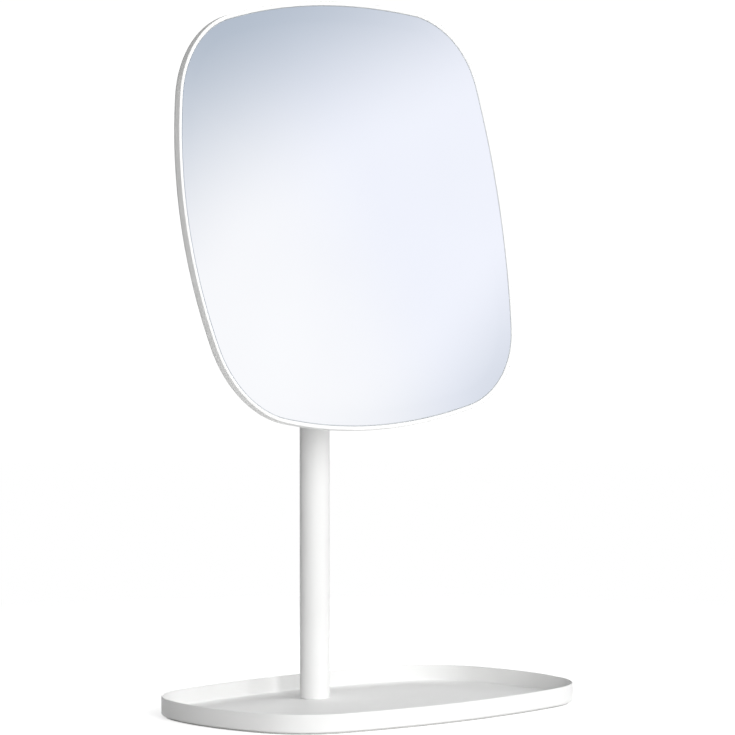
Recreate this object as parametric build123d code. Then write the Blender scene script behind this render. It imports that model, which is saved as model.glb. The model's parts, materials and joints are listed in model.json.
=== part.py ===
from build123d import *
import math
import os

# Vanity mirror: a concave mirror on a round column that stands in a shallow tray.
# Millimetres and degrees. The origin is the middle of the tray on the table top,
# X runs along the tray, the user sits on the -Y side, and Z is up.

# Tray, one pressed sheet with four bowed sides
TRAY_LENGTH = 229.3
TRAY_DEPTH = 148.5
TRAY_LONG_BOW = 367.0  # radius of the front and rear sides
TRAY_SHORT_BOW = 133.0  # radius of the left and right sides
TRAY_CORNER = 43.9
TRAY_SHEET = 1.0
TRAY_WALL = 8.6  # height of the wall above the floor
TRAY_BEND = 1.0  # inside radius between floor and wall
RIM_ROUND = 0.4  # on both edges of the rim
UNDERLAY = 1.0  # foam sheet under the tray

# Column and its fixing in the tray
COLUMN_Y = 42.2  # how far the column stands behind the tray's middle
COLUMN_OUTSIDE = 16.0
COLUMN_WALL = 1.2
LOCATOR_HEIGHT = 3.2  # boss in the tray's floor that the tube stands over
LOCATOR_GAP = 0.2
PLUG_LENGTH = 18.0
FIXING_SCREW = 6.0  # thread diameter
FIXING_SCREW_LENGTH = 16.0
FIXING_HEAD_KEY = 4.0  # across flats
FIXING_WASHER = 0.7
HEAD_GAP = 0.3  # between a screw head and the recess it sits in
HOLE_GAP = 0.2  # between a screw and the hole it passes through

# Swivel on the column
PIVOT_HEIGHT = 255.85  # tilt axis above the table
BUSH_LENGTH = 16.0  # inside the tube
BUSH_FLANGE = 1.2
POST = 8.0  # diameter of the swivel shank
RUNNING_GAP = 0.05  # radial, between a shaft and its bearing
FACE_GAP = 0.1  # between flat faces that slide on each other
COLLAR = 2.5
THRUST_WASHER = 0.6
SPRING_SHEET = 0.5
SPRING_CONE = 0.35  # rise of a disc spring's cone
RETAINING_WASHER = 1.2
RETAINING_GAP = 0.6  # between that washer and the tube
RETAINING_SCREW = 4.0
RETAINING_SCREW_LENGTH = 9.0
RETAINING_HEAD = 2.2
RETAINING_KEY = 2.5  # across flats

# Tilt hinge
TILT_AT_REST = 12.0  # leaning back
TILT_FORWARD = 5.0  # furthest past upright, towards the user
TILT_BACK = 60.0  # furthest leaning back
TONGUE = 7.0  # thickness along the tilt axis
TONGUE_ROUND = 6.5  # radius of its top about the tilt axis
TONGUE_GAP = 3.7  # between the tongue and the bracket's plate
TILT_BOLT = 5.0
BOLT_HEAD = 2.6
BOLT_HEAD_RIM = 2.0  # how far the head stands out beyond the shank
BOLT_KEY = 3.0  # across flats
FRICTION_WASHER = 0.6
FRICTION_WASHER_RIM = 3.5
SPRING_RIM = 2.6
NUT_ACROSS = 8.0
NUT_HEIGHT = 4.0
NUT_DOME = 1.6
NUT_SHOULDER = 0.4  # round the foot of the dome
DOME_ROUND = 1.4
EAR = 2.0  # thickness of the bracket's ears and plate
EAR_ROUND = 9.4  # radius of an ear about the tilt axis
STOP_LUG = 4.5  # length of the flat that stops the tilt back
PLATE_WIDTH = 44.0
PLATE_HEIGHT = 26.0
PLATE_CORNER = 5.0
STUD = 4.0
STUD_SPACING_X = 30.0
STUD_SPACING_Z = 14.0
STUD_END = 1.0  # of stud that stands out of its nut
STUD_NUT_ACROSS = 7.0
STUD_NUT_HEIGHT = 3.2
STUD_NUT_FLANGE = 9.0
STUD_NUT_FLANGE_HEIGHT = 0.8

# Mirror head
MIRROR_RADIUS = 700.0  # of the concave glass
GLASS_SIDE = 226.3
GLASS_BOW = 331.5  # radius of each side
GLASS_CORNER = 51.4
GLASS = 3.0
PAD = 0.6  # foam and its adhesive film
FILM = 0.05
PAN_SHEET = 1.5
PAN_BEND = 0.4  # inside radius between the pan's floor and its wall
EDGE_GAP = 0.15  # between the glass and the pan's wall
LIP_RISE = 0.25  # how far the pan's lip stands proud of the glass
PAD_WIDTH = 36.0
PAD_SPACING = 112.0

# Heights and radii that follow from the sizes above
FLOOR_Z = UNDERLAY + TRAY_SHEET
BORE = COLUMN_OUTSIDE / 2 - COLUMN_WALL
LOCATOR = BORE - LOCATOR_GAP
RECESS = LOCATOR - TRAY_SHEET
LOCATOR_TOP = FLOOR_Z + LOCATOR_HEIGHT
FIXING_HEAD_TOP = LOCATOR_TOP - TRAY_SHEET - FIXING_WASHER
COLLAR_TOP = PIVOT_HEIGHT - EAR_ROUND - FACE_GAP
BUSH_TOP = COLLAR_TOP - COLLAR - THRUST_WASHER - FACE_GAP
TUBE_TOP = BUSH_TOP - BUSH_FLANGE
SPRING_TOP = TUBE_TOP - BUSH_LENGTH - FACE_GAP
POST_END = SPRING_TOP - SPRING_SHEET - SPRING_CONE
WASHER_INNER = TONGUE / 2 + FACE_GAP
EAR_INNER = WASHER_INNER + FRICTION_WASHER
EAR_OUTER = EAR_INNER + EAR
PLATE_REAR = TONGUE_ROUND + TONGUE_GAP  # in front of the tilt axis
PAN_REAR = PLATE_REAR + EAR
GLASS_AHEAD = PAN_REAR + PAN_SHEET + PAD + GLASS
GLASS_REAR_RADIUS = MIRROR_RADIUS + GLASS
PAN_FLOOR_RADIUS = GLASS_REAR_RADIUS + PAD
PAN_REAR_RADIUS = PAN_FLOOR_RADIUS + PAN_SHEET
PLATE_REAR_RADIUS = PAN_REAR_RADIUS + EAR


def bowed_face(length, depth, long_bow, short_bow, corner, grow=0.0):
    """Flat outline of four bowed sides and four corner arcs, tangent all round, grown by an offset."""
    half_x, half_y = length / 2 + grow, depth / 2 + grow
    long_r, short_r, corner_r = long_bow + grow, short_bow + grow, corner + grow
    long_centre = Vector(0, half_y - long_r)
    short_centre = Vector(half_x - short_r, 0)
    span = short_centre - long_centre
    along = ((long_r - corner_r) ** 2 - (short_r - corner_r) ** 2 + span.length**2) / (2 * span.length)
    across = math.sqrt((long_r - corner_r) ** 2 - along**2)
    step = span.normalized()
    corner_centre = long_centre + step * along + Vector(step.Y, -step.X) * across
    to_long = (corner_centre - long_centre).normalized()
    to_short = (corner_centre - short_centre).normalized()
    on_long = long_centre + to_long * long_r
    on_short = short_centre + to_short * short_r
    middle = corner_centre + (to_long + to_short).normalized() * corner_r
    arcs = []
    for x in (1, -1):
        short_end = (x * on_short.X, on_short.Y)
        long_end = (on_long.X, x * on_long.Y)
        arcs.append(ThreePointArc((short_end[0], -short_end[1]), (x * half_x, 0), short_end))
        arcs.append(ThreePointArc((-long_end[0], long_end[1]), (0, x * half_y), long_end))
        for y in (1, -1):
            ends = [(x * p.X, y * p.Y) for p in (on_short, middle, on_long)]
            arcs.append(ThreePointArc(*ends))
    return Face(Wire(arcs))


def post_at(radius, low, high):
    """Upright cylinder on the column's axis between two heights."""
    return Pos(0, COLUMN_Y, low) * extrude(Circle(radius), high - low)


def ring_at(outer, inner, low, high):
    """Upright ring on the column's axis between two heights."""
    return post_at(outer, low, high) - post_at(inner, low, high)


def bar_across(radius, left, right):
    """Cylinder on the tilt axis between two places along X."""
    return Pos(left, 0, 0) * Rot(0, 90, 0) * extrude(Circle(radius), right - left)


def disc_spring(inner, outer):
    """Conical spring washer, its inner edge up, standing on its outer edge at height 0."""
    profile = Polygon(
        (inner, SPRING_CONE),
        (outer, 0),
        (outer, SPRING_SHEET),
        (inner, SPRING_CONE + SPRING_SHEET),
        align=None,
    )
    return revolve(Plane.XZ * profile, Axis.Z)


def tray_face(grow=0.0):
    return bowed_face(TRAY_LENGTH, TRAY_DEPTH, TRAY_LONG_BOW, TRAY_SHORT_BOW, TRAY_CORNER, grow)


def tray():
    """Tray with a rounded bottom edge and rim, and a hollow boss that takes the column's screw."""
    rim_z = FLOOR_Z + TRAY_WALL
    outside = Pos(0, 0, UNDERLAY) * extrude(tray_face(), rim_z - UNDERLAY)
    outside = fillet(outside.faces().sort_by(Axis.Z)[0].edges(), TRAY_BEND + TRAY_SHEET)
    inside = Pos(0, 0, FLOOR_Z) * extrude(tray_face(-TRAY_SHEET), TRAY_WALL)
    inside = fillet(inside.faces().sort_by(Axis.Z)[0].edges(), TRAY_BEND)
    shell = outside - inside
    shell = fillet(shell.faces().sort_by(Axis.Z)[-1].edges(), RIM_ROUND)
    shell += post_at(LOCATOR, UNDERLAY, LOCATOR_TOP)
    shell -= post_at(RECESS, UNDERLAY, LOCATOR_TOP - TRAY_SHEET)
    return shell - post_at(FIXING_SCREW / 2 + HOLE_GAP, UNDERLAY, LOCATOR_TOP)


def underlay():
    """Foam sheet under the flat of the tray, with a hole for the screw's recess."""
    sheet = extrude(tray_face(-TRAY_BEND - TRAY_SHEET), UNDERLAY)
    return sheet - post_at(LOCATOR, 0, UNDERLAY)


def column_tube():
    return ring_at(COLUMN_OUTSIDE / 2, BORE, FLOOR_Z, TUBE_TOP)


def foot_plug():
    plug = post_at(BORE, LOCATOR_TOP, LOCATOR_TOP + PLUG_LENGTH)
    plug = chamfer(plug.edges().filter_by(GeomType.CIRCLE), COLUMN_WALL / 2)
    return plug - post_at(FIXING_SCREW / 2, LOCATOR_TOP, LOCATOR_TOP + PLUG_LENGTH)


def column_screw():
    """Button-head screw, its rounded head down in the recess of the tray."""
    head_low = HEAD_GAP
    head = post_at(RECESS - HEAD_GAP, head_low, FIXING_HEAD_TOP)
    head_height = FIXING_HEAD_TOP - head_low
    head = fillet(head.edges().sort_by(Axis.Z)[0], head_height / 2)
    key = extrude(RegularPolygon(FIXING_HEAD_KEY / 2, 6, major_radius=False), head_height / 2)
    shank = post_at(FIXING_SCREW / 2, FIXING_HEAD_TOP, FIXING_HEAD_TOP + FIXING_SCREW_LENGTH)
    return head - Pos(0, COLUMN_Y, head_low) * key + shank


def screw_washer():
    inner = FIXING_SCREW / 2 + HOLE_GAP
    return ring_at(RECESS - HEAD_GAP, inner, FIXING_HEAD_TOP, FIXING_HEAD_TOP + FIXING_WASHER)


def top_bush():
    bush = post_at(BORE, TUBE_TOP - BUSH_LENGTH, TUBE_TOP)
    bush += post_at(COLUMN_OUTSIDE / 2, TUBE_TOP, BUSH_TOP)
    return bush - post_at(POST / 2 + RUNNING_GAP, TUBE_TOP - BUSH_LENGTH, BUSH_TOP)


def swivel_post():
    """Shank in the bush, collar above it, and the tongue that carries the tilt bolt."""
    post = post_at(POST / 2, POST_END, COLLAR_TOP - COLLAR)
    post += post_at(COLUMN_OUTSIDE / 2, COLLAR_TOP - COLLAR, COLLAR_TOP)
    rise = PIVOT_HEIGHT - COLLAR_TOP
    side = Circle(TONGUE_ROUND) + Pos(0, -rise / 2) * Rectangle(2 * TONGUE_ROUND, rise)
    side -= Circle(TILT_BOLT / 2 + RUNNING_GAP)
    tongue = extrude(Plane.YZ * side, TONGUE / 2, both=True)
    post += Pos(0, COLUMN_Y, PIVOT_HEIGHT) * tongue
    return post - post_at(RETAINING_SCREW / 2, POST_END, POST_END + RETAINING_SCREW_LENGTH)


def thrust_washer():
    low = BUSH_TOP + FACE_GAP
    return ring_at(COLUMN_OUTSIDE / 2, POST / 2 + HOLE_GAP, low, low + THRUST_WASHER)


def swivel_spring():
    spring = disc_spring(POST / 2 + HOLE_GAP, BORE - RETAINING_GAP)
    return Pos(0, COLUMN_Y, POST_END) * spring


def retaining_washer():
    inner = RETAINING_SCREW / 2 + HOLE_GAP
    return ring_at(BORE - RETAINING_GAP, inner, POST_END - RETAINING_WASHER, POST_END)


def retaining_screw():
    head_top = POST_END - RETAINING_WASHER
    head = post_at(RETAINING_SCREW, head_top - RETAINING_HEAD, head_top)
    head = fillet(head.edges().sort_by(Axis.Z)[0], RETAINING_HEAD / 2)
    key = extrude(RegularPolygon(RETAINING_KEY / 2, 6, major_radius=False), RETAINING_HEAD / 2)
    shank = post_at(RETAINING_SCREW / 2, head_top, head_top + RETAINING_SCREW_LENGTH)
    return head - Pos(0, COLUMN_Y, head_top - RETAINING_HEAD) * key + shank


# The head is drawn upright with the tilt axis at the origin, facing -Y, and then leant back.
def in_place(shape):
    return Pos(0, COLUMN_Y, PIVOT_HEIGHT) * Rot(-TILT_AT_REST, 0, 0) * shape


def ball(radius):
    """Ball about the centre of the mirror's curve."""
    return Pos(0, -GLASS_AHEAD - MIRROR_RADIUS, 0) * Sphere(radius)


def prism(face):
    """Flat outline carried right through the head, front to back."""
    return extrude(Plane.XZ * face, GLASS_SIDE / 2, both=True)


def dished(face, inner, outer):
    """Piece with a flat outline, cut between two balls about the centre of the mirror's curve."""
    return prism(face) & ball(outer) - ball(inner)


def mirror_face(grow=0.0):
    return bowed_face(GLASS_SIDE, GLASS_SIDE, GLASS_BOW, GLASS_BOW, GLASS_CORNER, grow)


def mirror_glass():
    return dished(mirror_face(), MIRROR_RADIUS, GLASS_REAR_RADIUS)


def bonding_pads():
    """Foam discs between the glass and the pan, one in the middle and one towards each corner."""
    places = [(0, 0)] + [(x * PAD_SPACING / 2, z * PAD_SPACING / 2) for x in (1, -1) for z in (1, -1)]
    disc = Circle(PAD_WIDTH / 2)
    pad_rear = PAN_FLOOR_RADIUS - FILM
    return [dished(Pos(x, z) * disc, GLASS_REAR_RADIUS, pad_rear) for x, z in places]


def back_pan():
    """Dished pan with a rounded back edge, a wall round the glass and a lip just proud of it."""
    blank = dished(mirror_face(EDGE_GAP + PAN_SHEET), MIRROR_RADIUS - LIP_RISE, PAN_REAR_RADIUS)
    blank = fillet(blank.faces().sort_by(Axis.Y)[-1].edges(), PAN_BEND + PAN_SHEET)
    pocket = dished(mirror_face(EDGE_GAP), MIRROR_RADIUS - 2 * LIP_RISE, PAN_FLOOR_RADIUS)
    pocket = fillet(pocket.faces().sort_by(Axis.Y)[-1].edges(), PAN_BEND)
    return blank - pocket


def stud_places():
    return [(x * STUD_SPACING_X / 2, z * STUD_SPACING_Z / 2) for x in (1, -1) for z in (1, -1)]


def ear_side():
    """Side view of an ear: round about the tilt axis, with a flat at each end of the tilt."""
    web = Rectangle(PAN_REAR, EAR_ROUND)
    lug = Rectangle(STOP_LUG, EAR_ROUND)
    front_stop = Rot(0, 0, -TILT_FORWARD) * Pos(-PAN_REAR / 2, -EAR_ROUND / 2) * web
    upper_web = Pos(-PAN_REAR / 2, EAR_ROUND / 2) * web
    rear_stop = Rot(0, 0, TILT_BACK) * Pos(STOP_LUG / 2, -EAR_ROUND / 2) * lug
    return Circle(EAR_ROUND) + front_stop + upper_web + rear_stop - Circle(TILT_BOLT / 2 + HOLE_GAP)


def tilt_bracket():
    """Plate that follows the back of the pan, with two ears that straddle the tongue."""
    plate = RectangleRounded(PLATE_WIDTH, PLATE_HEIGHT, PLATE_CORNER)
    bracket = dished(plate, PAN_REAR_RADIUS, PLATE_REAR_RADIUS)
    for x in (EAR_INNER, -EAR_OUTER):
        ear = extrude(Plane.YZ.offset(x) * ear_side(), EAR)
        bracket += ear - ball(PAN_REAR_RADIUS)
    for x, z in stud_places():
        bracket -= prism(Pos(x, z) * Circle(STUD / 2 + HOLE_GAP))
    return bracket


def bracket_studs():
    """Studs that stand on the back of the pan."""
    stud_rear = PLATE_REAR_RADIUS + STUD_NUT_HEIGHT + STUD_END
    return [dished(Pos(x, z) * Circle(STUD / 2), PAN_REAR_RADIUS, stud_rear) for x, z in stud_places()]


def bracket_nuts():
    """Flange nuts on the studs, seated on the plate."""
    nuts = []
    for x, z in stud_places():
        flange = Circle(STUD_NUT_FLANGE / 2) - Circle(STUD / 2)
        hexagon = RegularPolygon(STUD_NUT_ACROSS / 2, 6, major_radius=False) - Circle(STUD / 2)
        nut = dished(Pos(x, z) * flange, PLATE_REAR_RADIUS, PLATE_REAR_RADIUS + STUD_NUT_FLANGE_HEIGHT)
        nut += dished(Pos(x, z) * hexagon, PLATE_REAR_RADIUS, PLATE_REAR_RADIUS + STUD_NUT_HEIGHT)
        nuts.append(nut)
    return nuts


def tilt_bolt():
    """Shoulder bolt along the tilt axis, its rounded head on the left ear."""
    head = bar_across(TILT_BOLT / 2 + BOLT_HEAD_RIM, -EAR_OUTER - BOLT_HEAD, -EAR_OUTER)
    head = fillet(head.edges().sort_by(Axis.X)[0], BOLT_HEAD / 2)
    key = extrude(RegularPolygon(BOLT_KEY / 2, 6, major_radius=False), BOLT_HEAD / 2)
    head -= Pos(-EAR_OUTER - BOLT_HEAD, 0, 0) * Rot(0, 90, 0) * key
    return head + bar_across(TILT_BOLT / 2, -EAR_OUTER, nut_seat() + NUT_HEIGHT)


def friction_washers():
    left = bar_across(TILT_BOLT / 2 + FRICTION_WASHER_RIM, -EAR_INNER, -WASHER_INNER)
    left -= bar_across(TILT_BOLT / 2 + HOLE_GAP, -EAR_INNER, -WASHER_INNER)
    return [left, mirror(left, Plane.YZ)]


def tilt_springs():
    """Two disc springs rim to rim between the right ear and the nut."""
    spring = Rot(0, 90, 0) * disc_spring(TILT_BOLT / 2 + HOLE_GAP, TILT_BOLT / 2 + SPRING_RIM)
    middle = EAR_OUTER + SPRING_CONE + SPRING_SHEET
    return [Pos(middle, 0, 0) * spring, Pos(middle, 0, 0) * mirror(spring, Plane.YZ)]


def nut_seat():
    return EAR_OUTER + 2 * (SPRING_CONE + SPRING_SHEET)


def tilt_nut():
    """Domed lock nut on the end of the bolt."""
    hexagon = RegularPolygon(NUT_ACROSS / 2, 6, major_radius=False)
    body = Pos(nut_seat(), 0, 0) * Rot(0, 90, 0) * extrude(hexagon, NUT_HEIGHT)
    dome_end = nut_seat() + NUT_HEIGHT + NUT_DOME
    dome = bar_across(NUT_ACROSS / 2 - NUT_SHOULDER, nut_seat() + NUT_HEIGHT, dome_end)
    dome = fillet(dome.edges().sort_by(Axis.X)[-1], DOME_ROUND)
    return body + dome - bar_across(TILT_BOLT / 2, nut_seat(), nut_seat() + NUT_HEIGHT)


STANDING = [
    tray,
    underlay,
    column_tube,
    foot_plug,
    column_screw,
    screw_washer,
    top_bush,
    swivel_post,
    thrust_washer,
    swivel_spring,
    retaining_washer,
    retaining_screw,
]
LEANING = [
    mirror_glass,
    bonding_pads,
    back_pan,
    tilt_bracket,
    bracket_studs,
    bracket_nuts,
    tilt_bolt,
    friction_washers,
    tilt_springs,
    tilt_nut,
]

os.makedirs("parts", exist_ok=True)
for make in STANDING:
    export_step(make(), f"parts/{make.__name__}.step")
for make in LEANING:
    made = make()
    pieces = made if isinstance(made, list) else [made]
    export_step(Compound([in_place(piece) for piece in pieces]), f"parts/{make.__name__}.step")
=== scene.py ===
import json
import math

import bpy
import numpy as np
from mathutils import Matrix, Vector


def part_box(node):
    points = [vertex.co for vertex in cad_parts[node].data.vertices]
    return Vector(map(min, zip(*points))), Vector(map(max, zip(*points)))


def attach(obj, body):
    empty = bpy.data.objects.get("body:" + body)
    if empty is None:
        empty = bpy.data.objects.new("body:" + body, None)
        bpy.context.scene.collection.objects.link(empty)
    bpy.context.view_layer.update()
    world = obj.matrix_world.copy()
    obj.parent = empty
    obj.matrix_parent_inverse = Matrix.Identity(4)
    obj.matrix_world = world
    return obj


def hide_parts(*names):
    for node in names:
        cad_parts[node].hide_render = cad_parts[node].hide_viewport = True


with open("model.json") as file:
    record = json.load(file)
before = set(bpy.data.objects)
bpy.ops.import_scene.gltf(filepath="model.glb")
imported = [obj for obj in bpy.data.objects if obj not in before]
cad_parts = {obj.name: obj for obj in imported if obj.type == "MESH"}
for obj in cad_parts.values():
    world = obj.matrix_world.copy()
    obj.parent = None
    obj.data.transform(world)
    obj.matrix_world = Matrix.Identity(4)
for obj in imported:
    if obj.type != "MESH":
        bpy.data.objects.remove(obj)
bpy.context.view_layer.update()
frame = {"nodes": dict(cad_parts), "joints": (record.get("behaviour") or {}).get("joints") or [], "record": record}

# Vanity mirror: a concave mirror on a round column that stands in a shallow tray.
# Sizes are millimetres and degrees in the frame's axes: X along the tray, the user on the -Y side, Z up.
MM = 0.001

# What the frame gives: bodies, slots, the tilt axis and boxes
BODY_OF = {n: body for body, nodes in frame["record"]["behaviour"]["bodies"].items() for n in nodes}
SLOT_OF = {n: o.material_slots[0].material.name for n, o in frame["nodes"].items()}
TILT_AXIS = np.array(next(j["pos_m"] for j in frame["joints"] if j["name"] == "mirror_tilt")) / MM
BOX = {n: np.array(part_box(n)) / MM for n in frame["nodes"]}

# Tray and underlay
TRAY_HALF_X, TRAY_HALF_Y, RIM_Z = BOX["tray"][1]
TRAY_UNDERSIDE = BOX["tray"][0][2]
TRAY_LONG_BOW = 367.0
TRAY_SHORT_BOW = 133.0
TRAY_CORNER = 43.9
TRAY_SHEET = 1.0
TRAY_BEND = 1.0
RIM_ROUND = 0.4
FOOT_ROUND = 1.0
FLOOR_Z = TRAY_UNDERSIDE + TRAY_SHEET
FLOOR_REACH = -6.0  # from the outline, where the wall's profile hands over to the flat floor
BOSS_REACH = 2.0  # from the boss, where the flat floor hands over to the boss's profile
LOCATOR = 6.6  # radius of the boss that locates the column
LOCATOR_RISE = 3.2
LOCATOR_TOP = FLOOR_Z + LOCATOR_RISE
RECESS = LOCATOR - TRAY_SHEET
SCREW_HOLE = 3.2
BOSS_ROUNDS = (0.3, 0.2, 0.2, 0.2, 0.3, 0.1)  # from the recess's mouth over the top to the boss's foot
UNDERLAY_REACH = 3.0  # width of the underlay's edge profile
FOAM_EDGE = 0.2

# Column and its screw
COLUMN_RADIUS = BOX["column_tube"][1][0]
COLUMN_WALL = 1.2
COLUMN_EDGE = 0.3
COLUMN_BORE = COLUMN_RADIUS - COLUMN_WALL
COLUMN_FOOT = TILT_AXIS[:2]
SCREW_RADIUS = 3.0
SCREW_LENGTH = 16.0
SCREW_HEAD = 3.2
SCREW_HEAD_RADIUS = 5.3
SCREW_KEY = 2.0
LOCK_WASHER_RADIUS = 5.3
LOCK_WASHER_EDGE = 0.1

# Roundings of the two socket screws
SOCKET_FLOOR_ROUND = 0.1
SOCKET_MOUTH_ROUND = 0.15
HEAD_ROUND = 0.45  # as a share of the head's height
HEAD_SEAT_ROUND = 0.1
SHANK_ROOT_ROUND = 0.1
SHANK_END_ROUND = 0.4

# Swivel
POST_RADIUS = 4.0
POST_EDGE = 0.4
COLLAR_TOP = 246.35
COLLAR = 2.5
HOLE_GAP = 0.2
RUNNING_GAP = 0.05
BUSH_START = 5.0  # height on the bush's skirt where its profile begins and ends
BUSH_ROUNDS = (0.05, 0.3, 0.3, 0.2, 0.2, 0.3)  # from the flange's root over its rim to the skirt's foot
THRUST_WASHER_EDGE = 0.15

# Tilt hinge, sizes about the tilt axis
TILT_AT_REST = 12.0
TILT_FORWARD = 5.0
TILT_BACK = 60.0
TONGUE_HALF = 3.5
TONGUE_ROUND = 6.5
TONGUE_EDGE = 0.5
TONGUE_ROOT = 0.3  # how far the tongue runs into the collar
EAR_INNER = 4.2
EAR = 2.0
EAR_OUTER = EAR_INNER + EAR
EAR_ROUND = 9.4
EAR_EDGE = 0.4
EAR_ROOT = 0.6  # how far an ear stops short of the pan, inside the plate
STOP_LUG = 4.5
CHEEK_REACH = 1.0  # width of the edge profiles of ears and tongue
BOLT_RADIUS = 2.5
BOLT_HEAD = 2.6
BOLT_HEAD_RADIUS = 4.5
BOLT_KEY = 1.5
FRICTION_WASHER = 0.6
FRICTION_WASHER_RADIUS = 6.0
FRICTION_WASHER_EDGE = 0.12
SPRING_SHEET = 0.5
SPRING_CONE = 0.35
SPRING_RIM = 2.6  # from the bolt to the spring's outer edge
SPRING_EDGE = 0.12
NUT_SEAT = EAR_OUTER + 2 * (SPRING_SHEET + SPRING_CONE)
NUT_HALF = 4.0
NUT_HEIGHT = 4.0
NUT_DOME = 1.6
NUT_ROUNDS = (0.1, 0.15, 0.3, 0.3, 0.1)  # from the thread's end over the hexagon to the dome's foot
DOME_STEP = 0.4  # how far the dome stands in from the flats
DOME_SHOULDER = 0.05
DOME_ROUND = 0.85  # as a share of the dome's height

# Bracket plate with its studs and nuts
PLATE_HALF_X = 22.0
PLATE_HALF_Z = 13.0
PLATE_CORNER = 5.0
PLATE_REACH = 3.0  # width of the plate's edge profile
PLATE_ROUNDS = (0.2, 0.5)  # on the pan's side and at the back
STRAIGHT = 1e5  # bow of a side that is as good as straight
STUD_X = 15.0
STUD_Z = 7.0
STUD_RADIUS = 2.0
STUD_PITCH = 0.7
STUD_THREAD = 0.25  # depth of the thread
STUD_CHAMFER = 0.5
STUD_END = 1.0
STUD_NUT_HALF = 3.5
STUD_NUT_HEIGHT = 3.2
STUD_NUT_FLANGE = 4.5
STUD_NUT_FLANGE_HEIGHT = 0.8
STUD_NUT_SLOPE = 0.3  # rise of the flange from its rim to the hexagon
STUD_NUT_SINK = 0.3  # countersink of the bore
STUD_NUT_START = 0.1  # height in the bore where the nut's profile begins and ends
STUD_NUT_ROUNDS = (0.03, 0.2, 0.25, 0.2, 0.3, 0.1, 0.1)  # from the seat over the flange and top to the bore

# Mirror head: balls about the centre of the mirror's curve cut its faces
MIRROR_RADIUS = 700.0
GLASS_AHEAD = 17.3
GLASS_HALF = 113.15
GLASS_BOW = 331.5
GLASS_CORNER = 51.4
GLASS = 3.0
GLASS_BEVEL = 0.4
GLASS_BEVEL_DEPTH = 0.2
GLASS_INSET = 0.5  # the glass stands in from its outline, so that only a thin line shows beside it
GLASS_SEAM = 0.02  # rounding where the silvered faces meet the ground edge
BEVEL_ROUND = 0.05
GLASS_REAR_ROUND = 0.1
EDGE_GAP = 0.06
WALL_OFFSET = 1.65  # from the outline to the outside of the pan's wall
PAN_SHEET = 1.5
PAN_BEND = 0.4
LIP_RISE = 0.25
LIP_ROUND = 0.45
PAD = 0.55
PAD_FILM = 0.05
FACE_REACH = 8.0  # width of the edge profiles of glass and pan
GLASS_REAR = MIRROR_RADIUS + GLASS
PAD_REAR = GLASS_REAR + PAD
PAN_FLOOR = PAD_REAR + PAD_FILM
PAN_REAR = PAN_FLOOR + PAN_SHEET
PLATE_REAR = PAN_REAR + EAR
PAD_RADIUS = 18.0
PAD_PLACE = 56.0
PAD_REACH = 3.0  # width of a pad's edge profile

# Fineness of the meshes
OUTLINE_POINTS = 360
ROUND_POINTS = 96
ARC_STEPS = 6
ARC_ROWS = ARC_STEPS + 3  # rows of one rounded corner, with the points beside its arc
HOLD = 0.3  # distance of the point beside an arc, as a share of the arc's radius
FLOOR_SHARES = np.linspace(0.08, 0.98, 14)  # rows of a flat face, as shares of the way from outline to hole
POLE_SHARE = 0.03  # size of the loop next to the middle of a dish
SHOWN_ROWS = 36  # rows across the dished faces that show
HIDDEN_ROWS = 10
PLATE_ROWS = (6, 8)
PAD_ROWS = (5, 5)
STUD_ROWS = 90
TIP = 0.02  # radius of the loop that an end's middle point closes
TINY = 1e-6  # keeps a division from zero
TURN = 2 * math.pi
AXIS_SHIFT = {"x": 1, "y": 2, "z": 0}  # places that coordinates drawn about Z move on for another axis


# Profiles and outlines
def unit(vectors):
    """Vectors divided by their lengths."""
    return vectors / np.linalg.norm(vectors, axis=-1, keepdims=True)


def rounded(corners, radii):
    """Profile through corner points, with each inner corner replaced by a tangent arc of its radius.

    An arc's points are the blend of its two end spokes by sines of the turn that is left and done.
    A point close beside each arc end keeps the flat runs flat where the surface is shaded smooth. It
    takes at most a third of the run.
    """
    corners = np.asarray(corners, float)
    radii = np.asarray(radii, float)
    middle = corners[1:-1]
    back, ahead = unit(corners[:-2] - middle), unit(corners[2:] - middle)
    half = np.arccos(np.clip((back * ahead).sum(1), -1, 1)) / 2
    reach = radii / np.tan(half)
    spare = np.linalg.norm(np.diff(corners, axis=0), axis=1)
    spare -= np.append(0, reach) + np.append(reach, 0)
    centre = middle + unit(back + ahead) * (radii / np.sin(half))[:, None]
    first = middle + back * reach[:, None] - centre
    last = middle + ahead * reach[:, None] - centre
    turn = (math.pi - 2 * half)[:, None, None]
    done = np.linspace(0, 1, ARC_STEPS + 1)[None, :, None]
    arcs = np.sin((1 - done) * turn) * first[:, None] + np.sin(done * turn) * last[:, None]
    arcs = arcs / np.sin(turn) + centre[:, None]
    before = arcs[:, :1] + (back * np.minimum(HOLD * radii, spare[:-1] / 3)[:, None])[:, None]
    after = arcs[:, -1:] + (ahead * np.minimum(HOLD * radii, spare[1:] / 3)[:, None])[:, None]
    rows = np.concatenate([before, arcs, after], axis=1).reshape(-1, 2)
    return np.vstack([corners[:1], rows, corners[-1:]])


def at_corners(profile, first, last):
    """True for the rows of a rounded profile that belong to its corners from first to last."""
    corner = (np.arange(len(profile)) - 1) // ARC_ROWS + 1
    return (corner >= first) & (corner <= last)


def sheet_edge(side, reach, first, last, radii):
    """Profile of a sheet's edge: along the first face to the side, over it and back along the last face."""
    return rounded([(reach, first), (side, first), (side, last), (reach, last)], radii)


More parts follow.
